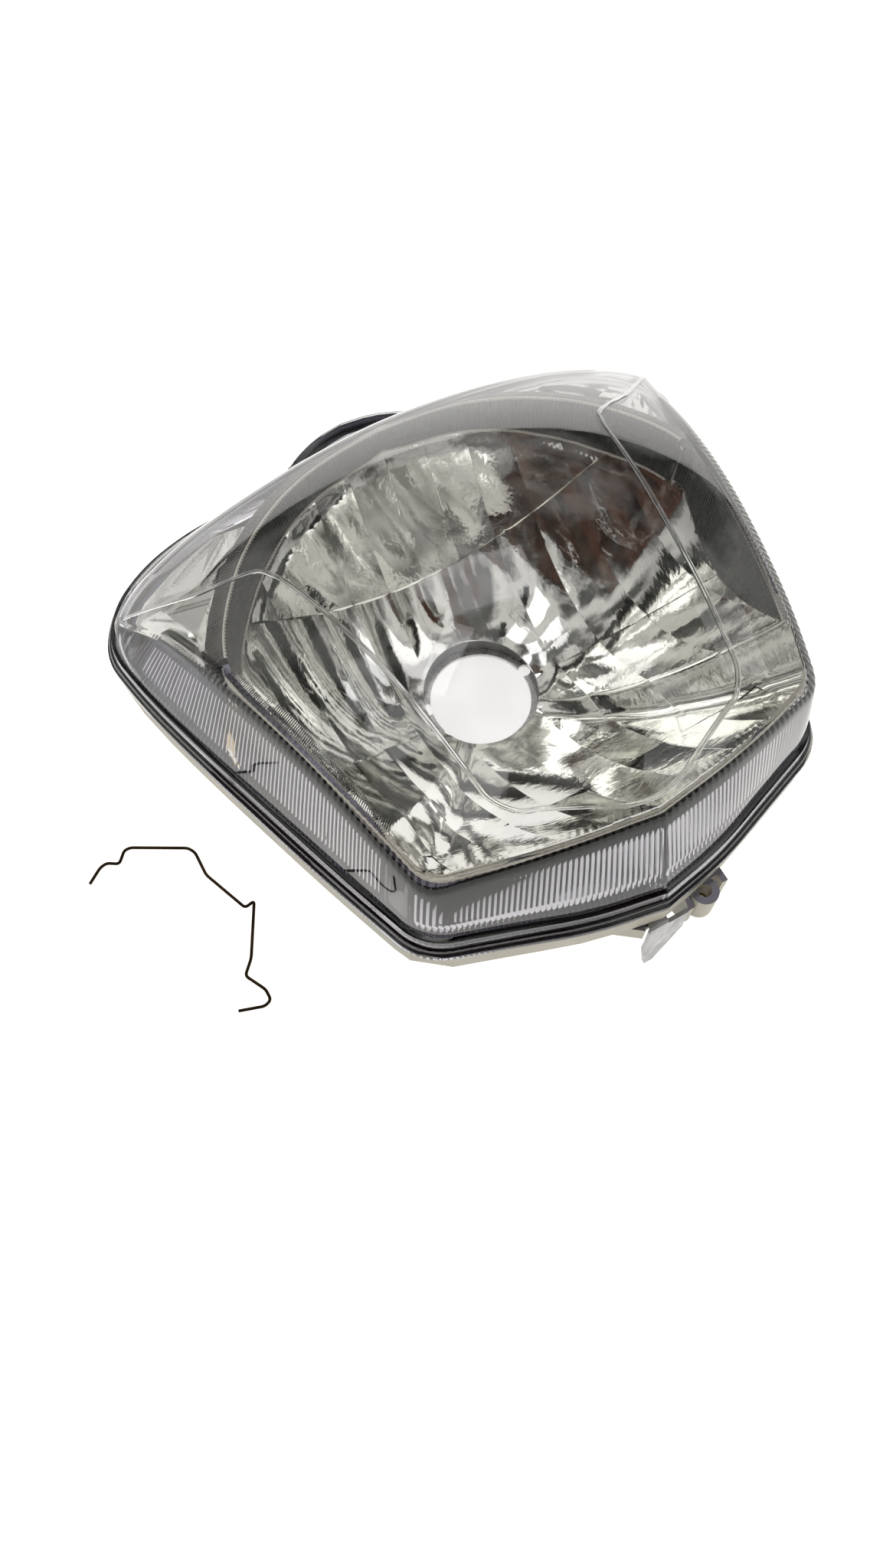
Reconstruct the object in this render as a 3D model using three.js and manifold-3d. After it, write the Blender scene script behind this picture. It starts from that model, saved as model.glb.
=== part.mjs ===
// Headlight optical unit lying on its back, lens up, with its loose bulb clip beside it.
// Millimetres, +Z up. x = y = 0 is the bulb axis until the last lines centre the group.
import * as THREE from "three";
import { mergeVertices } from "three/addons/utils/BufferGeometryUtils.js";
import Module from "manifold-3d";

const wasm = await Module();
wasm.setup();

// --- Driving dimensions ---------------------------------------------------
const LENS_WALL = 2.6;
const SHELL_WALL = 2.4;
const GAP = 0.35; // between neighbouring pieces
const FACE_CLEAR = 1.6; // lens inner face to reflector lip
const CROWN_Z = 109.5; // front face over the bulb axis
const FOCAL_X = 28.5; // the bowl is flatter across than it is up and down
const FOCAL_Y = 18.5;
const VERTEX_Z = 7.5; // of the bowl
const FLANGE_Z = 46.5; // underside of the lens flange at x = y = 0
const FLANGE_RAKE = 0.05; // the flange rises this much per mm towards the bottom edge
const FLANGE_SWEEP = 0.00075; // and drops with the square of x towards the tips
const SKIRT_FOOT = 9; // skirt foot above the flange underside
const SKIRT_LEAN = 14; // most that the foot stands outside the rim
const CHANNEL_DEPTH = 7;
const LEG = 4.5; // lens leg in the glue channel
const BORE_R = 19.4;
const NECK_R = 25;
const NECK_BACK_Z = 5;
const SEAT_R = 22.2;
const SEAT_Z = 5.6;
const SEAT_WALL = 1.4;
const CLIP_TAB_Y = 30;
const BOOT_R = 36.5;
const BOOT_WALL = 2.6;
const BEZEL_FOOT = 2.2; // draft of the fluted wall
const SHOULDER = 6;
const BEZEL_END = 10; // degrees above the x axis where the bezel stops
const FACET_COLUMN = 13.4;
// Rows of facets from the bottom: where each starts at x = 0, how much that line falls with the square
// of x, how far the row stands off the plain bowl and how deep its flutes are.
const FACET_ROWS = [
  { y: -96, sag: 0, lift: 0.7, dish: 0.35 }, { y: -59, sag: 0.0012, lift: 0.9, dish: 0.7 },
  { y: -2.5, sag: 0.0037, lift: 1.3, dish: 0.9 }, { y: 38.7, sag: 0.0012, lift: 1.35, dish: -0.25 },
  { y: 90, sag: 0 },
];
const CORNER_POST = [80, 36];
const BEZEL_POST = [43.8, 59.9];
const LEG_R = 2.6; // legs of the trim pieces
const SCREW_BOSS = 3; // flat seat under the web for a screw head
const MOUNT_BOSS = [76, 2];
const MOUNT_BOSS_R = 7;
const MOUNT_DROP = 12; // length of the boss under the web
const VENT = [22, 71];
const AIM_EYE = [15.2, -103.1];
const WIRE_R = 0.6;

// Half outlines on the right side, from bottom centre to top centre: x, y, corner radius.
const RIM = [
  [0, -91.8, 0], [20, -89, 30], [40, -84.3, 20], [64, -76.5, 6], [69.5, -55, 30], [74.5, -31, 40],
  [83.5, 6, 40], [92.5, 44, 30], [100.5, 62.5, 4], [91, 69.5, 8], [72, 73, 20], [50, 72.2, 20],
  [24, 72.2, 20], [0, 73, 0],
];
const MOUTH = [
  [0, -87.4, 0], [20, -84.6, 30], [38, -80.3, 20], [60.2, -72.6, 6], [65.8, -50, 30], [72.3, -22, 40],
  [79.2, 9, 4], [75, 22, 15], [66.5, 35, 20], [56, 46.5, 15], [41, 57.5, 15], [23, 64.5, 15],
  [0, 67.5, 0],
];
const FLANGE = [
  [0, -104.5, 0], [22, -100.4, 30], [46, -91.5, 20], [69, -83, 10], [81.5, -45, 40], [96, 5, 40],
  [103.5, 35, 20], [107, 58, 8], [99, 72, 8], [84, 80.5, 10], [66, 84.5, 10], [32, 84.5, 6],
  [22, 92.5, 10], [11, 97.2, 8], [0, 98.5, 0],
];
const CREASE = [
  [97, 59], [88, 52], [76, 42.5], [66, 37.5], [58.5, 33.2], [56, 28.5], [53.8, 22], [50, 4], [45.5, -20],
  [42.5, -41], [40.2, -58], [38.6, -66], [34, -72.2], [28, -75.2], [16, -81],
  [8, -84.8], [0, -86.2],
];

// --- Geometry helpers -----------------------------------------------------
const rad = THREE.MathUtils.degToRad;

// The front face of the lens.
function faceZ(x, y) {
  const u = x / 100, v = y / 100;
  return CROWN_Z - 39 * u * u - 20 * v - 39.5 * v * v + 10 * u * u * v;
}

const flangeZ = (x, y) => FLANGE_Z - FLANGE_RAKE * y - FLANGE_SWEEP * x * x;

// A closed polyline from a half outline, mirrored in x, with its corners rounded.
function closedOutline(half) {
  const left = half.slice(1, -1).map(([x, y, r]) => [-x, y, r]).reverse();
  const all = [...half, ...left];
  const path = new THREE.Path();
  all.forEach(([x, y, r], i) => {
    const p = new THREE.Vector2(x, y);
    const before = new THREE.Vector2(...all[(i + all.length - 1) % all.length]).sub(p);
    const after = new THREE.Vector2(...all[(i + 1) % all.length]).sub(p);
    const cut = Math.min(r, before.length() / 2.1, after.length() / 2.1);
    const a = p.clone().add(before.setLength(cut || 1e-6));
    const b = p.clone().add(after.setLength(cut || 1e-6));
    if (i) path.lineTo(a.x, a.y);
    else path.moveTo(a.x, a.y);
    if (cut) path.quadraticCurveTo(x, y, b.x, b.y);
  });
  path.closePath();
  return path.getSpacedPoints(720);
}

// The distance from the axis to a closed polyline, as a function of the angle.
function polar(outline) {
  const table = outline.map((p) => [Math.atan2(p.y, p.x), p.length()]);
  table.sort((a, b) => a[0] - b[0]);
  return (angle) => {
    const t = Math.atan2(Math.sin(angle), Math.cos(angle));
    const k = table.findIndex(([a]) => a >= t);
    const [a1, r1] = table[k < 0 ? 0 : k];
    const [a0, r0] = table[(k <= 0 ? table.length : k) - 1];
    const span = a1 - a0 + (k <= 0 ? 2 * Math.PI : 0);
    const part = (t - a0 + (t < a0 ? 2 * Math.PI : 0)) / Math.max(span, 1e-9);
    return r0 + (r1 - r0) * part;
  };
}

const rimR = polar(closedOutline(RIM));
const mouthR = polar(closedOutline(MOUTH));
const flangeR = polar(closedOutline(FLANGE));

// Angles of the sections: close together round the corners, the tips and the lobe.
function sectionAngles() {
  const right = [-90];
  while (right[right.length - 1] < 90) {
    const d = right[right.length - 1], near = Math.min(...[-48, 31, 84].map((m) => Math.abs(m - d)));
    right.push(Math.min(d + (near < 6 ? 3 : 7), 90));
  }
  right.push(BEZEL_END - 0.5, BEZEL_END + 0.5);
  right.sort((a, b) => a - b);
  const left = right.slice(1, -1).reverse().map((d) => 180 - d);
  return [...right, ...left].map(rad);
}
const ANGLES = sectionAngles();

// Faces all turned out, so that the volume is positive.
function outward(geometry) {
  const g = mergeVertices(geometry, 1e-4);
  const p = g.attributes.position, at = (i) => new THREE.Vector3().fromBufferAttribute(p, i);
  const faces = [];
  let volume = 0;
  for (let i = 0; i < g.index.count; i += 3) {
    const [a, b, c] = [0, 1, 2].map((k) => g.index.getX(i + k));
    if (a === b || b === c || c === a) continue;
    faces.push([a, b, c]);
    volume += at(a).dot(at(b).cross(at(c)));
  }
  g.setIndex(faces.flatMap(([a, b, c]) => (volume < 0 ? [a, c, b] : [a, b, c])));
  return g;
}

// One closed body through sections that are closed loops of [x, y, z] with equal counts.
function skin(sections, wrap) {
  const n = sections[0].length, index = [];
  const last = wrap ? sections.length : sections.length - 1;
  for (let s = 0; s < last; s++) {
    const t = (s + 1) % sections.length;
    for (let i = 0; i < n; i++) {
      const j = (i + 1) % n;
      index.push(s * n + i, t * n + i, t * n + j, s * n + i, t * n + j, s * n + j);
    }
  }
  if (!wrap) {
    const flat = THREE.ShapeUtils.triangulateShape(flatten(sections[0]), []);
    const end = (sections.length - 1) * n;
    for (const [a, b, c] of flat) index.push(a, b, c, end + a, end + c, end + b);
  }
  const g = new THREE.BufferGeometry();
  g.setAttribute("position", new THREE.Float32BufferAttribute(sections.flat(2), 3));
  g.setIndex(index);
  return outward(g);
}

// A section's loop seen square on, for its end cap.
function flatten(loop) {
  const p = loop.map((q) => new THREE.Vector3(...q));
  const normal = new THREE.Vector3();
  p.forEach((a, i) => normal.add(a.clone().cross(p[(i + 1) % p.length])));
  const u = new THREE.Vector3(0, 0, 1).cross(normal).normalize();
  const v = normal.normalize().clone().cross(u);
  return p.map((a) => new THREE.Vector2(a.dot(u), a.dot(v)));
}

// Sections round the bulb axis: profile(angle) gives [radius, z] pairs.
function turned(profile, angles = ANGLES, wrap = true) {
  return skin(
    angles.map((a) => profile(a).map(([r, z]) => [r * Math.cos(a), r * Math.sin(a), z])),
    wrap,
  );
}

function solid(geometry) {
  const g = outward(geometry.index ? geometry : mergeVertices(onlyPlaces(geometry), 1e-4));
  return new wasm.Manifold(new wasm.Mesh({
    numProp: 3,
    vertProperties: new Float32Array(g.attributes.position.array),
    triVerts: new Uint32Array(g.index.array),
  }));
}

function onlyPlaces(geometry) {
  const g = new THREE.BufferGeometry();
  g.setAttribute("position", geometry.attributes.position);
  return geometry.index ? g.setIndex(geometry.index) : g;
}

function geometryOf(manifold) {
  const m = manifold.getMesh(), n = m.numProp, v = new Float32Array(m.numVert * 3);
  for (let i = 0; i < m.numVert; i++) v.set(m.vertProperties.subarray(i * n, i * n + 3), i * 3);
  const g = new THREE.BufferGeometry();
  g.setAttribute("position", new THREE.BufferAttribute(v, 3));
  return g.setIndex(new THREE.BufferAttribute(new Uint32Array(m.triVerts), 1));
}

const part = (g) => (g instanceof THREE.BufferGeometry ? solid(onlyPlaces(g)) : g);
const join = (first, ...rest) => rest.reduce((a, b) => a.add(part(b)), part(first));
const cut = (first, ...rest) => rest.reduce((a, b) => a.subtract(part(b)), part(first));
const common = (a, b) => part(a).intersect(part(b));

// A rod or tube standing on [x, y] between two heights.
function post(x, y, r, z0, z1, bore = 0, sides = 24) {
  const rod = (radius, a, b) => new THREE.CylinderGeometry(radius, radius, b - a, sides)
    .rotateX(Math.PI / 2).translate(x, y, (a + b) / 2);
  return bore ? cut(rod(r, z0, z1), rod(bore, z0 - 1, z1 + 1)) : part(rod(r, z0, z1));
}

const box = (x0, x1, y0, y1, z0, z1) =>
  new THREE.BoxGeometry(x1 - x0, y1 - y0, z1 - z0).translate((x0 + x1) / 2, (y0 + y1) / 2, (z0 + z1) / 2);

// A plate outline in the y-z plane, x0 to x1 thick.
function sidePlate(points, x0, x1) {
  const shape = new THREE.Shape(points.map(([y, z]) => new THREE.Vector2(y, z)));
  const g = new THREE.ExtrudeGeometry(shape, { depth: x1 - x0, bevelEnabled: false });
  const m = new THREE.Matrix4().set(0, 0, 1, x0, 1, 0, 0, 0, 0, 1, 0, 0, 0, 0, 0, 1);
  return g.applyMatrix4(m);
}

// --- Lens -----------------------------------------------------------------
function lensProfile(a) {
  const c = Math.cos(a), s = Math.sin(a), r = rimR(a), f = flangeR(a);
  const z = (q, drop) => faceZ(q * c, q * s) - drop;
  const zf = flangeZ(f * c, f * s);
  const foot = Math.min(f - 4, r + SKIRT_LEAN);
  const inner = (q) => [q, z(q, LENS_WALL)];
  return [
    [0, CROWN_Z], [r * 0.3, z(r * 0.3, 0)], [r * 0.6, z(r * 0.6, 0)], [r - 7, z(r - 7, 0)],
    [r - 1.2, z(r - 1.2, 0.8)], [r, z(r, 2.2)], [foot, zf + SKIRT_FOOT],
    [foot + 1.6, zf + SKIRT_FOOT - 0.6], [foot + 1.6, zf + 6], [f - 1, zf + 5], [f - 1, zf + 3],
    [f, zf + 2.6], [f, zf], [f - 2.9, zf], [f - 2.9, zf - LEG], [f - 5.3, zf - LEG], [f - 5.3, zf + 1],
    [foot - LENS_WALL, zf + SKIRT_FOOT - 1.4], [r - 2.4, z(r - 2.4, 2.8)],
    inner(r - 8), inner(r * 0.6), inner(r * 0.3), [0, CROWN_Z - LENS_WALL],
  ];
}

// The raised style line on the front face, tip to tip.
function creaseRib() {
  const half = CREASE.map(([x, y]) => new THREE.Vector3(x, y, faceZ(x, y)));
  const mirrored = half.slice(0, -1).map((p) => new THREE.Vector3(-p.x, p.y, p.z)).reverse();
  const path = new THREE.CatmullRomCurve3([...half, ...mirrored], false, "centripetal");
  const section = (t) => {
    const p = path.getPointAt(t), d = path.getTangentAt(t);
    const side = new THREE.Vector3(-d.y, d.x, 0).normalize();
    return [[-1.3, -1], [-0.75, 0.75], [0, 0.35], [0.75, 0.75], [1.3, -1]].map(([w, h]) => {
      const q = p.clone().addScaledVector(side, w);
      return [q.x, q.y, faceZ(q.x, q.y) + h];
    });
  };
  return skin(Array.from({ length: 49 }, (_, i) => section(i / 48)), false);
}

function outerLens() {
  const notch = (side) => box(side * 68 - 2.5, side * 68 + 2.5, 81.8, 90, 35, 52);
  return cut(join(turned(lensProfile), creaseRib()), notch(1), notch(-1));
}

const lensSeal = () => turned((a) => {
  const f = flangeR(a), z = flangeZ(f * Math.cos(a), f * Math.sin(a)) - LEG - GAP;
  return [[f - 3, z], [f - 3, z - 1.8], [f - 5.2, z - 1.8], [f - 5.2, z]];
});

// --- Reflector ------------------------------------------------------------
// Reflector lip height: just under the lens.
const lipZ = (x, y) => faceZ(x, y) - LENS_WALL - FACE_CLEAR;

// The bowl opens out towards the lower corners so that it meets the mouth there; along the sides
// it ends lower, at the foot of a drafted wall.
function focal(a) {
  const r = mouthR(a);
  const plain = 1 / (Math.cos(a) ** 2 / FOCAL_X + Math.sin(a) ** 2 / FOCAL_Y);
  return Math.max(plain, (r * r) / 4 / (lipZ(r * Math.cos(a), r * Math.sin(a)) - VERTEX_Z));
}
const bowlZ = (r, a) => VERTEX_Z + (r * r) / 4 / focal(a);

const inArch = (a) => Math.sin(a) > 0 && Math.asin(Math.sin(a)) > rad(BEZEL_END);
// Where the bowl ends under the fluted wall of the bezel.
const footR = (a) => mouthR(a) - BEZEL_FOOT;
const footZ = (a) => bowlZ(footR(a), a) + 1.2;

// The filled outside of the bowl with its lip.
const bowlOutside = () => turned((a) => {
  const back = [0.94, 0.8, 0.65, 0.5, 0.36].map((q) => {
    const r = footR(a) * q, slope = r / 2 / focal(a), n = SHELL_WALL / Math.hypot(1, slope);
    return [r + n * slope, bowlZ(r, a) - n];
  });
  const r = mouthR(a), lip = lipZ(r * Math.cos(a), r * Math.sin(a));
  const edge = inArch(a)
    ? [[0, footZ(a) - 2 * GAP], [footR(a) + 2, footZ(a) - 2 * GAP], [footR(a) + 2, footZ(a) - 3]]
    : [[0, lip], [r + 1.2, lip], [footR(a) + 2.4, bowlZ(footR(a), a) - 1]];
  return [...edge, ...back, [0, VERTEX_Z + 3]];
});

// The mirror surface: rows and columns of flutes, as the floor of a block that is cut away.
function facetBlock() {
  const columns = 7, xs = [];
  for (let i = -2 * columns; i <= 2 * columns; i++) xs.push((i * FACET_COLUMN) / 2);
  const floor = (x, y, row) => {
    const r = Math.hypot(x, y), u = (x / FACET_COLUMN + columns) % 1;
    const fade = THREE.MathUtils.smoothstep(r, BORE_R + 4, BORE_R + 16);
    return bowlZ(r, Math.atan2(y, x)) + fade * (row.lift - row.dish * 4 * u * (1 - u));
  };
  const sections = [];
  FACET_ROWS.slice(0, -1).forEach((row, k) => {
    const next = FACET_ROWS[k + 1], n = Math.ceil((next.y - row.y) / 12);
    for (let i = 0; i <= n; i++) {
      const t = i / n, gap = i === 0 ? 0.3 : 0;
      const at = (x) => (row.y - row.sag * x * x) * (1 - t) + (next.y - next.sag * x * x) * t + gap;
      const last = xs[xs.length - 1];
      sections.push([
        [xs[0], at(xs[0]), 300], ...xs.map((x) => [x, at(x), floor(x, at(x), row)]), [last, at(last), 300],
      ]);
    }
  });
  return skin(sections, false);
}

const mouthPrism = () => turned((a) => [
  [0, 150], [mouthR(a) + 0.6, 150], [mouthR(a) + 0.6, 96], [footR(a), 55], [footR(a), -20], [0, -20],
]);

// The web from the bowl to the glue channel that holds the lens.
const channelWeb = () => turned((a) => {
  const f = flangeR(a), z = flangeZ(f * Math.cos(a), f * Math.sin(a)), floor = z - CHANNEL_DEPTH;
  const root = footR(a) * 0.8, slope = root / 2 / focal(a), zr = bowlZ(root, a);
  return [
    [f - 0.5, z - GAP], [f - 2.5, z - GAP], [f - 2.5, floor], [f - 5.7, floor], [f - 5.7, z - 1],
    [f - 7.9, z - 1], [f - 8.2, floor], [root + 1.2 * slope * 0.6, zr - 0.6],
    [root + 3.4 * slope * 0.5, zr - SHELL_WALL - 1.6], [f - 8.5, floor - 2.2], [f - 0.5, floor - 2.2],
  ];
});

// Height of the web's underside at a place, for the bosses that hang from it.
function webZ(x, y) {
  const a = Math.atan2(y, x), f = flangeR(a) - 8.5, root = footR(a) * 0.8;
  const z1 = flangeZ((f + 8.5) * Math.cos(a), (f + 8.5) * Math.sin(a)) - CHANNEL_DEPTH - 2.2;
  const z0 = bowlZ(root, a) - SHELL_WALL - 1.6;
  return z0 + ((z1 - z0) * (Math.hypot(x, y) - root)) / (f - root);
}

// A plate outline in the x-y plane between two heights.
function deck(points, z0, z1) {
  const shape = new THREE.Shape(points.map((p) => new THREE.Vector2(...p)));
  return new THREE.ExtrudeGeometry(shape, { depth: z1 - z0, bevelEnabled: false }).translate(0, 0, z0);
}

// The yoke under the bottom edge that takes the aim screw and the aim plate.
function aimYoke() {
  const foot = [[-92, 22], [-74, 27], [-66, 33]];
  const rightCheek = [[-80, 43.4], [-101, 43.4], [-105.2, 40], [-105.2, 28], ...foot];
  const leftCheek = [[-80, 43.4], [-98, 43.4], [-98, 34], ...foot];
  const wing = [[-15.5, -97.5], [-6.2, -104.6], [-5.2, -102.8], [-11.5, -96.5]];
  const [x, y] = AIM_EYE;
  return join(
    sidePlate(rightCheek, 8.8, 10.8), sidePlate(leftCheek, -11.4, -9), deck(wing, 34, 41.5),
    box(-11.4, 23, -100.7, -86, 40.4, 43.4), box(-6.5, 1.2, -103.6, -98, 38, 40.7),
    box(21, 23, -103.5, -92, 32, 43.4), post(x, y, 4.3, 31, 43.4),
  ).subtract(post(x, y, 2, 20, 50)).subtract(post(x, y, 3.3, 20, 35.2, 0, 6));
}

const onWeb = ([x, y], side, r, drop) => post(side * x, y, r, webZ(x, y) - drop, webZ(x, y) + 1.5);
const throughWeb = ([x, y], side, r) => post(side * x, y, r, webZ(x, y) - 30, webZ(x, y) + 12);

function reflectorShell() {
  const pair = (place) => [place(1), place(-1)];
  const body = join(
    cut(bowlOutside(), box(-60, 60, -60, 60, -20, 0)), post(0, 0, NECK_R, NECK_BACK_Z, 16, 0, 48),
    post(0, 0, BOOT_R, 0, 24, BOOT_R - BOOT_WALL, 48), channelWeb(), aimYoke(),
    ...pair((s) => onWeb(MOUNT_BOSS, s, MOUNT_BOSS_R, MOUNT_DROP)), ...pair((s) => onWeb(VENT, s, 3.4, 9)),
    ...pair((s) => onWeb(CORNER_POST, s, 4.2, SCREW_BOSS)),
    ...pair((s) => onWeb(BEZEL_POST, s, 4.2, SCREW_BOSS)),
    box(-4.5, 4.5, 24, 35, 6, 16), box(-4, 4, -35, -24, 8.5, 16),
  );
  const holes = [
    post(0, 0, BORE_R, -5, 30, 0, 48), post(BORE_R + 0.8, 2, 3.8, -5, 30), box(-24, -17, 3, 7.5, -5, 30),
    post(0, 0, SEAT_R + GAP, -5, SEAT_Z + SEAT_WALL + GAP, 0, 48), post(0, CLIP_TAB_Y, 1.4, 0, 13),
    ...pair((s) => throughWeb(MOUNT_BOSS, s, 4.3)), ...pair((s) => throughWeb(VENT, s, 1.8)),
    ...pair((s) => throughWeb(CORNER_POST, s, 1.9)),
    ...pair((s) => throughWeb(BEZEL_POST, s, 1.9)),
  ];
  return cut(body, common(facetBlock(), mouthPrism()), ...holes);
}

// --- Trim inside the lens -------------------------------------------------
// The outer edge of the flat shoulder, kept inside the lens.
const shoulderR = (a) => Math.min(mouthR(a) + SHOULDER, rimR(a) - 4.6);

function bezelProfile(a) {
  const c = Math.cos(a), s = Math.sin(a), r = mouthR(a), q = shoulderR(a), foot = footR(a);
  const top = lipZ(r * c, r * s), edge = lipZ(q * c, q * s);
  const zb = footZ(a);
  return [
    [foot, zb], [r, top], [q, edge], [q, edge - 4], [q - 1.6, edge - 4], [q - 1.6, edge - 2],
    [r + 0.6, top - 2.2], [foot + 1.8, zb],
  ];
}

function innerBezel() {
  const angles = [];
  for (let d = BEZEL_END + 1.2; d < 179 - BEZEL_END - 1.2; d += 4) angles.push(rad(d));
  angles.push(rad(180 - BEZEL_END - 1.2));
  const top = lipZ(...BEZEL_POST) - 1.4;
  return join(turned(bezelProfile, angles, false), leg(BEZEL_POST, 1, top), leg(BEZEL_POST, -1, top));
}

// A leg that stands over the web and takes a screw from behind.
function leg([x, y], side, top) {
  const bottom = webZ(x, y) + 5.2;
  const pilot = post(side * x, y, 1.3, bottom - 1, bottom + 9, 0, 12);
  return post(side * x, y, LEG_R, bottom, top, 0, 20).subtract(pilot);
}

// A chrome dish in each tip: flat facets folded down from a ridge into two pyramids.
const DISH_WALL = 2;
function cornerReflector(side) {
  const at = (x, y, drop) => [side * x, y, lipZ(x, y) - drop];
  const along = (degrees) => {
    const a = rad(degrees), r = shoulderR(a) + 0.6;
    return at(r * Math.cos(a), r * Math.sin(a), 1.5);
  };
  const rim = [
    along(13), at(83.5, 24, 3), at(87.3, 43, 5), at(94, 59, 5), at(87, 64, 5), at(75, 66.6, 4), at(60, 66.6, 3),
  ];
  const loop = [...rim, ...[49, 44, 38, 31, 24, 18].map(along)];
  const ridge = at(84, 50, 3.5), upper = at(71, 55, 9), lower = at(...CORNER_POST, 9);
  const [U, L, R, n] = [loop.length, loop.length + 1, loop.length + 2, loop.length];
  const faces = [];
  for (let i = 3; i < 10; i++) faces.push([U, i, i + 1]);
  faces.push([U, 10, R], [U, R, 3], [L, 12, 0], [L, 3, R], [L, R, 10]);
  for (const i of [10, 11, 0, 1, 2]) faces.push([L, i, i + 1]);
  const all = [...loop, upper, lower, ridge], m = all.length;
  const index = faces.flatMap(([a, b, c]) => [a, b, c, c + m, b + m, a + m]);
  loop.forEach((_, i) => index.push(i, i + m, ((i + 1) % n) + m, i, ((i + 1) % n) + m, (i + 1) % n));
  const g = new THREE.BufferGeometry();
  const below = all.map(([x, y, z]) => [x, y, z - DISH_WALL]);
  g.setAttribute("position", new THREE.Float32BufferAttribute([...all, ...below].flat(), 3));
  return join(g.setIndex(index), leg(CORNER_POST, side, lower[2] - 0.4));
}

// --- Small parts ----------------------------------------------------------
// A self-tapping screw up through the web into a leg.
function webScrew([x, y], side) {
  const seat = webZ(x, y) - SCREW_BOSS - GAP;
  const head = post(side * x, y, 2.9, seat - 1.8, seat, 0, 20);
  const shank = post(side * x, y, 0.95, seat - 0.5, seat + 15, 0, 12);
  return join(head, shank).subtract(post(side * x, y, 1.3, seat - 3, seat - 0.9, 0, 6));
}

const bulbSeatRing = () => cut(
  post(0, 0, SEAT_R, SEAT_Z, SEAT_Z + SEAT_WALL, 17.2, 48),
  post(18.4, 2, 2.2, 0, 9), box(-20, -16, 3, 7.5, 0, 9), box(-20, -16, -7.5, -4.5, 0, 9),
);

const clipTab = () => cut(box(-7.5, 7.5, 27, 32.4, 4.3, 5.5), post(0, CLIP_TAB_Y, 1.6, 0, 9));

const clipScrew = () => join(post(0, CLIP_TAB_Y, 2.8, 2.1, 3.9), post(0, CLIP_TAB_Y, 1, 3, 12, 0, 12))
  .subtract(post(0, CLIP_TAB_Y, 1.2, 0, 2.9, 0, 6));

const aimNut = () => post(...AIM_EYE, 2.9, 31.4, 34.8, 1.6, 6);

// Folded steel plate on the yoke: a short pad on top and a tongue that tapers down to the table.
function aimPlate() {
  const fold = [
    [-102.2, 41], [-102.2, 42], [-104.7, 42], [-105.5, 41.2], [-105.8, 28], [-105.2, 0],
    [-103.8, 0], [-104.4, 28], [-104.2, 41],
  ];
  const waste = (points) => deck(points, 0, 20).rotateX(Math.PI / 2).translate(0, -95, 0);
  return cut(
    sidePlate(fold, -4.6, 8.4), box(1.4, 10, -108, -95, 40.2, 50),
    waste([[-8, -10], [-1.5, -10], [-0.5, 0], [-4.6, 22], [-4.6, 26], [-8, 26]]),
    waste([[12, -10], [1.8, -10], [2.6, 0], [8.4, 27], [8.4, 30], [12, 30]]),
  );
}

const mountInsert = (side) => {
  const [x, y] = MOUNT_BOSS, z = webZ(x, y);
  const sleeve = post(side * x, y, 3.95, z - MOUNT_DROP - 1, z - 3, 2.5);
  return join(sleeve, post(side * x, y, 5.6, z - MOUNT_DROP - 1.4, z - MOUNT_DROP - GAP, 2.5));
};

// A rubber elbow that covers the end of a breather spigot.
function ventCap(side) {
  const [x, y] = VENT, z = webZ(x, y) - 9;
  const cup = post(side * x, y, 5.4, z - 4.2, z + 5.5).subtract(post(side * x, y, 3.8, z - 1.2, z + 9));
  const spout = new THREE.CylinderGeometry(2.2, 2.2, 7, 16).translate(side * x, y + 7.9, z - 2);
  const hole = new THREE.CylinderGeometry(1.2, 1.2, 16, 12).translate(side * x, y + 8, z - 2);
  return cut(join(cup, spout), hole);
}

// --- Bulb clip, loose on the table ------------------------------------------
const CLIP_BENDS = [
  [-144.3, 6.4], [-139, 10], [-136.5, 10.4], [-133, 8.1], [-129.7, 11.6], [-127.5, 11.6], [-110.9, 2.1],
  [-109.5, -0.5], [-109.7, -9.4], [-103.5, -25.9], [-99.9, -25.2], [-109.3, -42.1], [-113.5, -46.4],
  [-109.8, -53.6], [-109.9, -57.4], [-112.4, -58.3], [-120.4, -55.6],
];

// Round wire lying flat, its bends eased.
function bulbClip() {
  const bends = CLIP_BENDS.map((p) => new THREE.Vector2(...p));
  const path = new THREE.Path([bends[0]]);
  bends.slice(1, -1).forEach((p, i) => {
    const ease = (q) => q.clone().sub(p).setLength(Math.min(1, q.distanceTo(p) / 2.2)).add(p);
    const a = ease(bends[i]), b = ease(bends[i + 2]);
    path.lineTo(a.x, a.y);
    path.quadraticCurveTo(p.x, p.y, b.x, b.y);
  });
  path.lineTo(...bends[bends.length - 1]);
  const line = path.getPoints(2);
  return skin(line.map((p, i) => {
    const before = line[Math.max(i - 1, 0)], after = line[Math.min(i + 1, line.length - 1)];
    const across = after.clone().sub(before).normalize().rotateAround(new THREE.Vector2(), Math.PI / 2);
    return Array.from({ length: 6 }, (_, k) => {
      const t = (k * Math.PI) / 3, w = WIRE_R * Math.cos(t);
      return [p.x + across.x * w, p.y + across.y * w, WIRE_R * (Math.sin(t) + Math.sin(Math.PI / 3))];
    });
  }), false);
}

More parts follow.
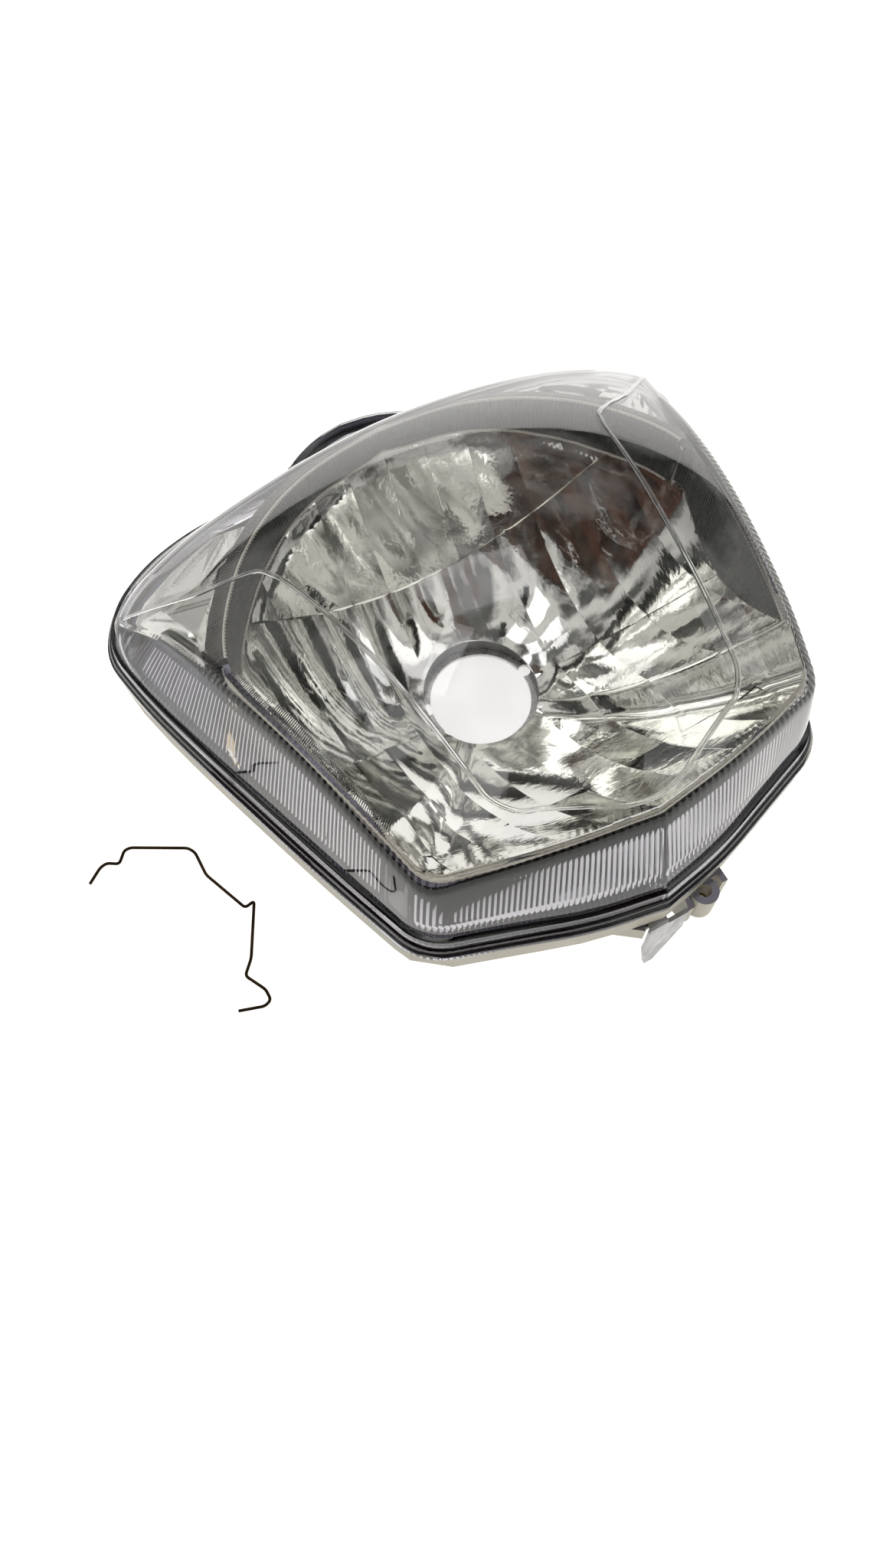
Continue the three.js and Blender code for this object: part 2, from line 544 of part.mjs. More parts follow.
// --- Assembly -------------------------------------------------------------
const clear = { color: 0xdcdce8, roughness: 0.05, transparent: true, opacity: 0.3 };
const chrome = { color: 0xd4d4d2, metalness: 1, roughness: 0.08 };
const steel = { color: 0x8c8c8a, metalness: 1, roughness: 0.35 };
const pieces = {
  outer_lens: [outerLens(), clear],
  lens_seal: [lensSeal(), { color: 0x1c1c1e, roughness: 0.7 }],
  reflector_shell: [reflectorShell(), chrome],
  inner_bezel: [innerBezel(), { color: 0x9a948a, metalness: 1, roughness: 0.2 }],
  corner_reflector_left: [cornerReflector(-1), chrome],
  corner_reflector_right: [cornerReflector(1), chrome],
  bezel_screw_left: [webScrew(BEZEL_POST, -1), steel],
  bezel_screw_right: [webScrew(BEZEL_POST, 1), steel],
  corner_screw_left: [webScrew(CORNER_POST, -1), steel],
  corner_screw_right: [webScrew(CORNER_POST, 1), steel],
  bulb_seat_ring: [bulbSeatRing(), steel],
  clip_tab: [clipTab(), steel],
  clip_tab_screw: [clipScrew(), steel],
  aim_nut: [aimNut(), { color: 0xb89a58, metalness: 1, roughness: 0.35 }],
  aim_plate: [aimPlate(), steel],
  mount_insert_left: [mountInsert(-1), { color: 0xb89a58, metalness: 1, roughness: 0.35 }],
  mount_insert_right: [mountInsert(1), { color: 0xb89a58, metalness: 1, roughness: 0.35 }],
  vent_cap_left: [ventCap(-1), { color: 0x202022, roughness: 0.8 }],
  vent_cap_right: [ventCap(1), { color: 0x202022, roughness: 0.8 }],
  bulb_clip: [bulbClip(), { color: 0x4a3a26, metalness: 1, roughness: 0.4 }],
};

const headlight = new THREE.Group();
for (const [name, [shape, look]] of Object.entries(pieces)) {
  const geometry = shape instanceof THREE.BufferGeometry ? shape : geometryOf(shape);
  const mesh = new THREE.Mesh(geometry, new THREE.MeshStandardMaterial(look));
  mesh.name = name;
  headlight.add(mesh);
}

// The origin is the middle of the base.
const bounds = new THREE.Box3().setFromObject(headlight);
const middle = bounds.getCenter(new THREE.Vector3());
headlight.position.set(-middle.x, -middle.y, -bounds.min.z);

export default headlight;
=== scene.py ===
"""Headlight optical unit on its back with a loose wire clip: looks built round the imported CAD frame.

Shapes are worked out in the lamp's own millimetres (x = y = 0 is the bulb axis) and placed in the
row frame, in metres, by OFFSET.
"""
import math

import bmesh
import bpy
import numpy as np
from mathutils import Matrix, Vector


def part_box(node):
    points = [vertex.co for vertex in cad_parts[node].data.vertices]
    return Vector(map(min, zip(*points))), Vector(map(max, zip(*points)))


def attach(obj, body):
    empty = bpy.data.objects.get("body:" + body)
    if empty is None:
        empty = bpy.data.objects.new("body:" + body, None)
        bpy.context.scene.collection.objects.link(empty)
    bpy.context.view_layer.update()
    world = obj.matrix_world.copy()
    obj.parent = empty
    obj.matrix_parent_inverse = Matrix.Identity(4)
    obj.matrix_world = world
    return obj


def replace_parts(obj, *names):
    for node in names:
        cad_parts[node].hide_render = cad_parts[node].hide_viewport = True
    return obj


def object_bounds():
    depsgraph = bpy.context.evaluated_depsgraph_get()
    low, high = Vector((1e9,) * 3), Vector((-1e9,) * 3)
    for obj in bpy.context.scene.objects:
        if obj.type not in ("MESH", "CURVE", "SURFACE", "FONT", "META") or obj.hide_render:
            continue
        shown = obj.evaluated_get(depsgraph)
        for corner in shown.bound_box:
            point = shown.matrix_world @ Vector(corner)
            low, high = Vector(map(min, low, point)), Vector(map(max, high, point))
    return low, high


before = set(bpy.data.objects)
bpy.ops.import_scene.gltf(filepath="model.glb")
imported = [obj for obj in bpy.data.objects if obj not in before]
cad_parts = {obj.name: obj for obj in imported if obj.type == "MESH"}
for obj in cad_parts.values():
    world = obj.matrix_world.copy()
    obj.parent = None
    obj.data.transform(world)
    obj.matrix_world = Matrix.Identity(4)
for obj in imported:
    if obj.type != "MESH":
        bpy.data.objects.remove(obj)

cad_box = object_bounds()

MM = 0.001
SEED = 7
CAMERA_PLACE = (-116.6, -179.2, 421.5)  # mm
CAMERA_AZIMUTH, CAMERA_ELEVATION, VIEW_HEIGHT = -29.4, 66.4, 60.0  # degrees
seat_low, seat_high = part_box("bulb_seat_ring")
OFFSET = np.array([(seat_low.x + seat_high.x) / 2, (seat_low.y + seat_high.y) / 2, 0.0])

# --- Driving dimensions, in millimetres, the same as the CAD part's ---------------------------
# Half outlines: x, y and corner radius. CREASE and CLIP_BENDS: x and y.
LENS_WALL, FACE_CLEAR = 2.6, 1.6
CROWN_Z, FOCAL_X, FOCAL_Y, VERTEX_Z = 109.5, 28.5, 18.5, 7.5
FLANGE_Z, FLANGE_RAKE, FLANGE_SWEEP = 46.5, 0.05, 0.00075
SKIRT_FOOT, SKIRT_LEAN, LEG = 9.0, 14.0, 4.5
BORE_R = 19.4
BEZEL_FOOT, SHOULDER, BEZEL_END = 2.2, 6.0, 10.0
COLUMN = 13.4
RIM = [
    (0, -91.8, 0), (20, -89, 30), (40, -84.3, 20), (64, -76.5, 6), (69.5, -55, 30), (74.5, -31, 40),
    (83.5, 6, 40), (92.5, 44, 30), (100.5, 62.5, 4), (91, 69.5, 8), (72, 73, 20), (50, 72.2, 20),
    (24, 72.2, 20), (0, 73, 0),
]
MOUTH = [
    (0, -87.4, 0), (20, -84.6, 30), (38, -80.3, 20), (60.2, -72.6, 6), (65.8, -50, 30),
    (72.3, -22, 40), (79.2, 9, 4), (75, 22, 15), (66.5, 35, 20), (56, 46.5, 15), (41, 57.5, 15),
    (23, 64.5, 15), (0, 67.5, 0),
]
FLANGE = [
    (0, -104.5, 0), (22, -100.4, 30), (46, -91.5, 20), (69, -83, 10), (81.5, -45, 40), (96, 5, 40),
    (103.5, 35, 20), (107, 58, 8), (99, 72, 8), (84, 80.5, 10), (66, 84.5, 10), (32, 84.5, 6),
    (22, 92.5, 10), (11, 97.2, 8), (0, 98.5, 0),
]
CREASE = [
    (97, 59), (88, 52), (76, 42.5), (66, 37.5), (58.5, 33.2), (56, 28.5), (53.8, 22), (50, 4),
    (45.5, -20), (42.5, -41), (40.2, -58), (38.6, -66), (34, -72.2), (28, -75.2), (16, -81),
    (8, -84.8), (0, -86.2),
]
CLIP_BENDS = [
    (-144.3, 6.4), (-139, 10), (-136.5, 10.4), (-133, 8.1), (-129.7, 11.6), (-127.5, 11.6),
    (-110.9, 2.1), (-109.5, -0.5), (-109.7, -9.4), (-103.5, -25.9), (-99.9, -25.2),
    (-109.3, -42.1), (-113.5, -46.4), (-109.8, -53.6), (-109.9, -57.4), (-112.4, -58.3),
    (-120.4, -55.6),
]


# --- Outlines ---------------------------------------------------------------------------------
def closed_outline(half):
    """A dense closed polyline from a half outline, mirrored in x, with its corners rounded."""
    corners = [*half, *[(-x, y, r) for x, y, r in half[1:-1]][::-1]]
    count, out = len(corners), []
    for i, (x, y, r) in enumerate(corners):
        p = np.array([x, y], float)
        before = np.array(corners[i - 1][:2], float) - p
        after = np.array(corners[(i + 1) % count][:2], float) - p
        lb, la = np.linalg.norm(before), np.linalg.norm(after)
        cut = max(min(r, lb / 2.1, la / 2.1), 1e-6)
        a, b = p + before / lb * cut, p + after / la * cut
        t = np.linspace(0, 1, 24)[:, None]
        out.append((1 - t) ** 2 * a + 2 * t * (1 - t) * p + t**2 * b)
    return np.vstack(out)


def polar(half):
    """The distance from the bulb axis to the outline, as a function of the angle."""
    line = closed_outline(half)
    line = np.vstack([line, line[:1]])
    dense = []
    for a, b in zip(line[:-1], line[1:]):
        n = max(int(np.linalg.norm(b - a) / 0.4), 1)
        dense.append(a + (b - a) * np.arange(n)[:, None] / n)
    line = np.vstack(dense)
    angle, radius = np.arctan2(line[:, 1], line[:, 0]), np.hypot(line[:, 0], line[:, 1])
    order = np.argsort(angle)
    return lambda t: np.interp(t, angle[order], radius[order], period=2 * math.pi)


rim_r, mouth_r, flange_r = polar(RIM), polar(MOUTH), polar(FLANGE)


def face_z(x, y):
    u, v = x / 100, y / 100
    return CROWN_Z - 39 * u * u - 20 * v - 39.5 * v * v + 10 * u * u * v


def flange_z(x, y):
    return FLANGE_Z - FLANGE_RAKE * y - FLANGE_SWEEP * x * x


def lip_z(x, y):
    return face_z(x, y) - LENS_WALL - FACE_CLEAR


def focal(a):
    r, plain = mouth_r(a), 1 / (np.cos(a) ** 2 / FOCAL_X + np.sin(a) ** 2 / FOCAL_Y)
    return np.maximum(plain, r * r / 4 / (lip_z(r * np.cos(a), r * np.sin(a)) - VERTEX_Z))


def bowl_z(r, a):
    return VERTEX_Z + r * r / 4 / focal(a)


def foot_r(a):
    return mouth_r(a) - BEZEL_FOOT


def foot_z(a):
    return bowl_z(foot_r(a), a) + 1.2


def wall_r(a, z):
    """The inner face of the drafted wall below the lip, beside the open bottom."""
    return foot_r(a) + (BEZEL_FOOT + 0.6) * np.clip((z - 55) / 41, 0, 1)


def shoulder_r(a):
    return np.minimum(mouth_r(a) + SHOULDER, rim_r(a) - 4.6)


def even_angles(radius_of, count, first=-math.pi, last=math.pi):
    """Angles that are evenly spaced along an outline, with the length run at each."""
    t = np.linspace(first, last, 6000)
    x, y = radius_of(t) * np.cos(t), radius_of(t) * np.sin(t)
    run = np.concatenate([[0], np.cumsum(np.hypot(np.diff(x), np.diff(y)))])
    at = np.linspace(0, run[-1], count)
    return np.interp(at, run, t), at


def loop_of(count):
    """Angles evenly spaced round a small section."""
    return np.linspace(0, 2 * math.pi, count, endpoint=False)


def smooth(lo, hi, v):
    t = np.clip((v - lo) / (hi - lo), 0, 1)
    return t * t * (3 - 2 * t)


# --- Meshes -----------------------------------------------------------------------------------
def place(points_mm):
    return np.asarray(points_mm, float) * MM + OFFSET


def new_object(name, points_mm, faces, material, sharp=35):
    mesh = bpy.data.meshes.new(name)
    mesh.from_pydata(place(points_mm).tolist(), [], [tuple(int(i) for i in f) for f in faces])
    mesh.update()
    mesh.validate()
    obj = bpy.data.objects.new(name, mesh)
    bpy.context.scene.collection.objects.link(obj)
    mesh.materials.append(material)
    mesh.shade_smooth()
    if sharp:
        mesh.set_sharp_from_angle(angle=math.radians(sharp))
    return obj


def turned(profile, angles, wrap=True, poles=()):
    """Points and quads of sections round the axis. profile(a) gives an (n, 2) array of radius and
    height for one angle; poles are rows that meet in one point on the axis."""
    rows = np.array([profile(a) for a in angles])
    count, n = rows.shape[:2]
    r, z = rows[..., 0], rows[..., 1]
    a = np.asarray(angles)[:, None]
    points = np.stack([r * np.cos(a), r * np.sin(a), z], -1).reshape(-1, 3)
    index = np.arange(count * n).reshape(count, n)
    for p in poles:
        index[:, p] = index[0, p]
    nxt = np.roll(index, -1, 0) if wrap else index[1:]
    cur = index if wrap else index[:-1]
    a0, b0 = cur, nxt
    a1, b1 = np.roll(cur, -1, 1), np.roll(nxt, -1, 1)
    quads = np.stack([a0, b0, b1, a1], -1).reshape(-1, 4).tolist()
    faces = []
    for q in quads:
        f = [v for i, v in enumerate(q) if v != q[i - 1]]
        if len(f) > 2 and len(set(f)) == len(f):
            faces.append(f)
    if not wrap:
        faces.append(index[0].tolist())
        faces.append(index[-1][::-1].tolist())
    return packed(points, faces)


def packed(points, faces):
    """Drops points that no face uses."""
    used = sorted({v for f in faces for v in f})
    where = {v: i for i, v in enumerate(used)}
    return points[used], [[where[v] for v in f] for f in faces]


def face_out(obj):
    """Turns the faces out of each closed body."""
    bm = bmesh.new()
    bm.from_mesh(obj.data)
    bmesh.ops.recalc_face_normals(bm, faces=bm.faces)
    bm.to_mesh(obj.data)
    bm.free()
    return obj


def ribbon(path, section):
    """A strip along a path of 3-D points; section gives (across, up) pairs of a closed loop."""
    path = np.asarray(path, float)
    ahead = np.gradient(path, axis=0)
    side = np.stack([-ahead[:, 1], ahead[:, 0], 0 * ahead[:, 0]], -1)
    side /= np.linalg.norm(side, axis=1)[:, None]
    n = len(section)
    points = np.concatenate([p + s * np.array([[w] for w, _ in section]) * [1, 1, 0]
                             + np.array([[0, 0, h] for _, h in section]) for p, s in zip(path, side)])
    faces = []
    for i in range(len(path) - 1):
        for j in range(n):
            k = (j + 1) % n
            faces.append([i * n + j, (i + 1) * n + j, (i + 1) * n + k, i * n + k])
    faces += [list(range(n))[::-1], [(len(path) - 1) * n + j for j in range(n)]]
    return points, faces


# --- Materials --------------------------------------------------------------------------------
class Nodes:
    """A small helper for building a node material."""

    def __init__(self, name):
        self.material = bpy.data.materials.new(name)
        self.material.use_nodes = True
        self.tree = self.material.node_tree
        self.tree.nodes.clear()
        self.out = self.tree.nodes.new("ShaderNodeOutputMaterial")
        self.place = self.tree.nodes.new("ShaderNodeTexCoord").outputs["Object"]

    def node(self, kind, inputs=None, **settings):
        n = self.tree.nodes.new(kind)
        for key, value in settings.items():
            setattr(n, key, value)
        for key, value in (inputs or {}).items():
            if isinstance(value, bpy.types.NodeSocket):
                self.tree.links.new(value, n.inputs[key])
            else:
                n.inputs[key].default_value = value
        return n

    def noise(self, scale, detail=3.0, rough=0.5, distortion=0.0, stretch=None):
        vector = self.place
        if stretch:
            vector = self.node("ShaderNodeMapping", {"Vector": vector, "Scale": stretch}).outputs[0]
        return self.node("ShaderNodeTexNoise", {
            "Vector": vector, "Scale": scale, "Detail": detail, "Roughness": rough,
            "Distortion": distortion}).outputs["Fac"]

    def ramp(self, fac, low, high, start=0.35, end=0.65):
        return self.node("ShaderNodeMapRange", {
            "Value": fac, "From Min": start, "From Max": end, "To Min": low, "To Max": high}).outputs[0]

    def mix(self, fac, a, b):
        n = self.node("ShaderNodeMix", data_type="RGBA")
        for key, value in ((0, fac), (6, a), (7, b)):
            if isinstance(value, bpy.types.NodeSocket):
                self.tree.links.new(value, n.inputs[key])
            else:
                n.inputs[key].default_value = value
        return n.outputs[2]

    def bump(self, height, distance, strength=1.0, normal=None):
        inputs = {"Height": height, "Distance": distance, "Strength": strength}
        if normal:
            inputs["Normal"] = normal
        return self.node("ShaderNodeBump", inputs).outputs[0]

    def principled(self, **inputs):
        return self.node("ShaderNodeBsdfPrincipled", {
            k.replace("_", " "): v for k, v in inputs.items()}).outputs[0]

    def done(self, surface, volume=None):
        self.tree.links.new(surface, self.out.inputs["Surface"])
        if volume:
            self.tree.links.new(volume, self.out.inputs["Volume"])
        return self.material


def rgb(r, g, b):
    return (r, g, b, 1.0)


def clear_plastic():
    """Clear polycarbonate with a faint violet body tint and a barely uneven moulded surface. Shadow
    rays pass straight through it with a flat tint, so that the mirror under it is lit."""
    m = Nodes("clear_cover")
    wave = m.bump(m.noise(38, 2), 0.0004, 0.12)
    rough = m.ramp(m.noise(220, 4), 0.01, 0.035)
    body = m.principled(Base_Color=rgb(0.97, 0.97, 0.965), Roughness=rough, IOR=1.46, Normal=wave,
                        Transmission_Weight=1.0)
    shadow = m.node("ShaderNodeLightPath").outputs["Is Shadow Ray"]
    through = m.node("ShaderNodeBsdfTransparent", {"Color": rgb(0.84, 0.84, 0.86)}).outputs[0]
    mixed = m.node("ShaderNodeMixShader", {0: shadow, 1: body, 2: through}).outputs[0]
    tint = m.node("ShaderNodeVolumeAbsorption", {"Color": rgb(0.38, 0.37, 0.43), "Density": 160.0})
    return m.done(mixed, tint.outputs[0])


def mirror_coating():
    """Aluminised moulding: a bright mirror with orange peel and specks of dust under the lacquer."""
    m = Nodes("reflector_mirror")
    peel = m.bump(m.noise(620, 2, 0.5, 0.8, (1, 0.45, 1)), 0.00003, 0.6)
    waves = m.bump(m.noise(150, 2, 0.5, 0.6, (1, 0.55, 1)), 0.00012, 0.6, peel)
    specks = m.noise(1500, 1)
    color = m.mix(m.ramp(specks, 0.0, 1.0, 0.74, 0.78), rgb(0.93, 0.93, 0.88), rgb(0.4, 0.38, 0.35))
    return m.done(m.principled(Base_Color=color, Metallic=1.0, Normal=waves,
                               Roughness=m.ramp(m.noise(60, 3), 0.03, 0.075)))


def shell_plastic():
    """Bare grey-beige moulding outside, with painted shade inside the bulb bore; metallised where the
    moulding faces the cover, in a dark colour that is painted shade.
    """
    m = Nodes("shell")
    grain = m.bump(m.noise(1400, 3, 0.6), 0.00005, 0.5)
    up = m.node("ShaderNodeSeparateXYZ", {
        "Vector": m.node("ShaderNodeNewGeometry").outputs["Normal"]}).outputs["Z"]
    inside = m.ramp(up, 0.0, 1.0, 0.02, 0.2)
    flat = m.node("ShaderNodeVectorMath", {0: m.place, 1: (1, 1, 0)}, operation="MULTIPLY").outputs[0]
    out = m.node("ShaderNodeVectorMath", {0: flat, 1: OFFSET.tolist()}, operation="DISTANCE").outputs[1]
    # painted shade: the bulb bore is painted near-black for the shade deep inside the collar
    bore = m.ramp(out, 0.0, 1.0, 0.0205, 0.0225)
    stain = m.mix(m.ramp(m.noise(30, 5), 0, 1), rgb(0.42, 0.39, 0.32), rgb(0.31, 0.29, 0.24))
    bare_and_bore_shade = m.mix(bore, rgb(0.05, 0.05, 0.045), stain)
    # painted shade: the metallised faces get a dark violet-grey in place of bright aluminium, for the
    # shade under the cover's skirt and flange
    color = m.mix(inside, bare_and_bore_shade, rgb(0.17, 0.163, 0.2))
    return m.done(m.principled(
        Base_Color=color, Metallic=m.ramp(up, 0.0, 0.85, 0.02, 0.2), Normal=grain,
        Roughness=m.ramp(up, 0.45, 0.22, 0.02, 0.2)))


def dark_trim():
    """Dark metallised wall of the bezel: nearly black, with a soft sheen along its flutes."""
    m = Nodes("bezel_dark")
    streak = m.noise(420, 3, 0.5, 0, (1, 1, 0.1))
    color = m.mix(m.ramp(streak, 0, 1), rgb(0.03, 0.031, 0.026), rgb(0.06, 0.06, 0.05))
    return m.done(m.principled(Base_Color=color, Metallic=0.35, Normal=m.bump(streak, 0.00004, 0.4),
                               Roughness=m.ramp(m.noise(80, 3), 0.2, 0.34)))


def warm_shoulder():
    """The bezel's flat shoulder: warm dark grey, with a satin mottle."""
    m = Nodes("bezel_shoulder")
    mottle = m.noise(160, 4)
    color = m.mix(m.ramp(mottle, 0, 1), rgb(0.085, 0.08, 0.068), rgb(0.14, 0.13, 0.11))
    return m.done(m.principled(Base_Color=color, Metallic=0.4, Roughness=m.ramp(mottle, 0.24, 0.38),
                               Normal=m.bump(m.noise(1100, 2), 0.00003, 0.5)))


def painted_highlight_edge():
    """The edges painted cream-bright as a painted highlight: the bowl's thin lip, the bezel's toothed
    edge and its foot line.
    """
    m = Nodes("lip_painted_highlight")
    fine = m.noise(700, 3)
    color = m.mix(m.ramp(fine, 0, 1), rgb(0.93, 0.9, 0.77), rgb(0.8, 0.77, 0.65))
    return m.done(m.principled(Base_Color=color, Metallic=0.25, Roughness=m.ramp(fine, 0.25, 0.4),
                               Normal=m.bump(fine, 0.00004, 0.4)))


def metal(name, base, worn, rough, grain_scale=600, stretch=None):
    """Bare or plated metal, blotched between two colours; stretch draws the grain out one way."""
    m = Nodes(name)
    grain = m.noise(grain_scale, 4, 0.6, 0, stretch)
    blotch = m.noise(90, 4, 0.6)
    color = m.mix(m.ramp(blotch, 0, 1), rgb(*base), rgb(*worn))
    return m.done(m.principled(Base_Color=color, Metallic=1.0, Normal=m.bump(grain, 0.00004, 0.4),
                               Roughness=m.ramp(grain, rough * 0.75, rough * 1.3)))


def rubber(name, base):
    """Matt moulded rubber with a fine grain."""
    m = Nodes(name)
    grain = m.noise(1800, 4, 0.65)
    color = m.mix(m.ramp(m.noise(120, 4), 0, 1), rgb(*base), rgb(*[c * 1.7 for c in base]))
    return m.done(m.principled(Base_Color=color, Normal=m.bump(grain, 0.00006, 0.6),
                               Roughness=m.ramp(grain, 0.55, 0.8)))


def paper_floor():
    """A floor that gives off most of its own white, so that it is white in the bulb hole too."""
    m = Nodes("floor")
    color = m.mix(m.noise(6, 3), rgb(0.52, 0.517, 0.51), rgb(0.57, 0.567, 0.56))
    return m.done(m.principled(Base_Color=color, Roughness=0.75, Emission_Color=rgb(1, 0.99, 0.96),
                               Emission_Strength=0.95))


LENS = clear_plastic()
MIRROR = mirror_coating()
SHELL = shell_plastic()
TRIM = dark_trim()
SHOULDER_TRIM = warm_shoulder()
# painted highlight: a cream colour in place of the light that the lip and the bezel's edges catch
LIP_HIGHLIGHT = painted_highlight_edge()
STEEL = metal("plated_steel", (0.62, 0.61, 0.59), (0.48, 0.47, 0.45), 0.26)
PLATE = metal("grey_plate", (0.34, 0.34, 0.35), (0.24, 0.24, 0.25), 0.34, 500, (1, 1, 0.2))
BRASS = metal("brass_machined", (0.72, 0.55, 0.27), (0.55, 0.40, 0.18), 0.28)
WIRE = metal("spring_wire_bronze", (0.035, 0.021, 0.009), (0.012, 0.008, 0.005), 0.3, 900)
RUBBER = rubber("moulded_rubber", (0.02, 0.02, 0.021))
SEALANT = rubber("sealing_bead", (0.026, 0.023, 0.04))


# --- Lens -------------------------------------------------------------------------------------
RIB_COUNT = 396
SAMPLES_PER_RIB = 4
SAMPLES_PER_TOOTH = 6
BOTTOM_FLUTE, SIDE_FLUTE, TOP_FLUTE = 0.95, 0.7, 0.4  # depths in the skirt, mm
SIDE_BAND, TOP_BAND = 0.2, 0.24                       # depths inside the face's rim, mm
TOOTH = 0.42                                          # depth of the teeth on the rim, mm
FACE_STEPS = (0, 0.08, 0.16, 0.25, 0.34, 0.43, 0.52, 0.6, 0.68, 0.76, 0.83, 0.89)
BACK_STEPS = (0.84, 0.76, 0.68, 0.6, 0.5, 0.4, 0.3, 0.2, 0.1, 0)
RIM_ROUND = (  # in from the rim, drop, share of a tooth's depth
    (5.5, 0.0, 0), (3.2, 0.08, 0), (1.9, 0.35, 0.7), (1.0, 0.8, 1), (0.4, 1.4, 0.8), (0.05, 2.2, 0.2))


def from_front(a):
    """The angle up from the x axis in degrees, the same on both sides: -90 is the bottom."""
    return np.degrees(np.arctan2(np.sin(a), np.abs(np.cos(a))))


def flute(a, i):
    """Depth of the flutes inside the skirt and inside the face's rim, at sample i of the way
    round: deepest along the bottom, shallower down the sides, half as wide and faint at the top,
    none at the corners."""
    d = from_front(a)
    wide = 0.5 - 0.5 * math.cos(2 * math.pi * i / SAMPLES_PER_RIB)
    narrow = 0.5 - 0.5 * math.cos(4 * math.pi * i / SAMPLES_PER_RIB)
    bottom = float(smooth(-46.5, -49.5, d))
    side = float(smooth(-44.5, -41, d) * smooth(27, 23, d))
    top = float(smooth(37, 41, d))
    skirt = BOTTOM_FLUTE * wide * bottom + SIDE_FLUTE * wide * side + TOP_FLUTE * narrow * top
    return skirt, narrow * (SIDE_BAND * side + TOP_BAND * top)


def tooth(a, i):
    """Depth of the small teeth along the cover's rim, down both sides and along the bottom."""
    wave = 0.5 - 0.5 * math.cos(2 * math.pi * i / SAMPLES_PER_TOOTH)
    return TOOTH * wave * float(smooth(14, 8, from_front(a)))


def lens_section(a, i):
    """The cover's section at one angle: over the face, down the skirt, round the flange and back
    up the inside."""
    c, s = math.cos(a), math.sin(a)
    r, f = float(rim_r(a)), float(flange_r(a))
    zf = flange_z(f * c, f * s)
    foot = min(f - 4, r + SKIRT_LEAN)

    def z(q, drop):
        return face_z(q * c, q * s) - drop

    skirt, band = flute(a, i)
    cut = tooth(a, i)
    out = [(r * q, z(r * q, 0)) for q in FACE_STEPS]
    out += [(r - q, z(r - q, drop + cut * part)) for q, drop, part in RIM_ROUND]
    top, low = (r, z(r, 2.2)), (foot, zf + SKIRT_FOOT)
    for t in np.linspace(0.06, 0.97, 9):
        bulge = 0.9 * math.sin(math.pi * t)
        out.append((top[0] + (low[0] - top[0]) * t + 0.25 * bulge,
                    top[1] + (low[1] - top[1]) * t + 0.3 * bulge))
    out += [
        (foot, zf + SKIRT_FOOT), (foot + 0.9, zf + 8.7), (foot + 1.45, zf + 8.35),
        (foot + 1.65, zf + 7.6), (foot + 1.7, zf + 6.6), (foot + 1.95, zf + 6.05),
        (f - 2.0, zf + 5.35), (f - 1.3, zf + 5.0), (f - 1.0, zf + 4.4), (f - 1.0, zf + 3.1),
        (f - 0.7, zf + 2.75), (f - 0.15, zf + 2.4), (f, zf + 1.9), (f, zf + 0.3), (f - 0.3, zf),
        (f - 2.9, zf), (f - 2.9, zf - LEG), (f - 5.3, zf - LEG), (f - 5.3, zf + 1),
    ]
    inner_low, inner_top = (foot - LENS_WALL, zf + SKIRT_FOOT - 1.4), (r - 2.4, z(r - 2.4, 2.9))
    for t in np.linspace(0, 1, 10):
        fade = smooth(0.0, 0.08, t) * smooth(1.0, 0.985, t)
        out.append((inner_low[0] + (inner_top[0] - inner_low[0]) * t - skirt * fade,
                    inner_low[1] + (inner_top[1] - inner_low[1]) * t))
    out += [(r - 3.4, z(r - 3.4, 2.7 + band)), (r - 5.2, z(r - 5.2, LENS_WALL + band)),
            (r - 7.6, z(r - 7.6, LENS_WALL + band)), (r - 9.2, z(r - 9.2, LENS_WALL))]
    out += [(r * q, z(r * q, LENS_WALL)) for q in BACK_STEPS]
    return np.array(out)


def outer_lens():
    count = RIB_COUNT * SAMPLES_PER_RIB
    angles, run = even_angles(rim_r, count + 1)
    turn = {a: i for i, a in enumerate(angles)}
    n = len(lens_section(0.0, 0))
    points, faces = turned(lambda a: lens_section(a, turn[a]), angles[:-1].tolist(), poles=(0, n - 1))
    high = (np.array(cad_box[1]) - OFFSET) / MM - 0.05
    points = np.minimum(points, high)  # so that the cover stays inside the CAD's box
    lens = face_out(new_object("lens_cover", points, faces, LENS, 40))
    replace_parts(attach(lens, "lamp"), "outer_lens")


def even_path(points, step):
    """A Catmull-Rom curve through points, resampled evenly."""
    p = np.asarray(points, float)
    p = np.vstack([2 * p[0] - p[1], p, 2 * p[-1] - p[-2]])
    out = []
    for i in range(1, len(p) - 2):
        t = np.linspace(0, 1, 24, endpoint=False)[:, None]
        a, b, c, d = p[i - 1:i + 3]
        out.append(0.5 * (2 * b + (c - a) * t + (2 * a - 5 * b + 4 * c - d) * t**2
                          + (3 * b - a - 3 * c + d) * t**3))
    line = np.vstack([*out, p[-2:-1]])
    run = np.concatenate([[0], np.cumsum(np.linalg.norm(np.diff(line, axis=0), axis=1))])
    at = np.linspace(0, run[-1], max(int(run[-1] / step), 2))
    return np.stack([np.interp(at, run, line[:, k]) for k in range(line.shape[1])], -1)


def lens_crease():
    """The cover's raised style line, a thin double ridge laid on its face."""
    half = CREASE[:-1]
    flat = even_path([*half, CREASE[-1], *[(-x, y) for x, y in half[::-1]]], 0.7)
    path = np.column_stack([flat, face_z(flat[:, 0], flat[:, 1])])
    section = [(-0.8, 0.02), (-0.72, 0.18), (-0.5, 0.4), (-0.3, 0.42), (-0.12, 0.3), (0.12, 0.3),
               (0.3, 0.42), (0.5, 0.4), (0.72, 0.18), (0.8, 0.02)]
    points, faces = ribbon(path, section)
    crease = face_out(new_object("lens_crease", points, faces, LENS, 60))
    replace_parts(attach(crease, "lamp"), "outer_lens")


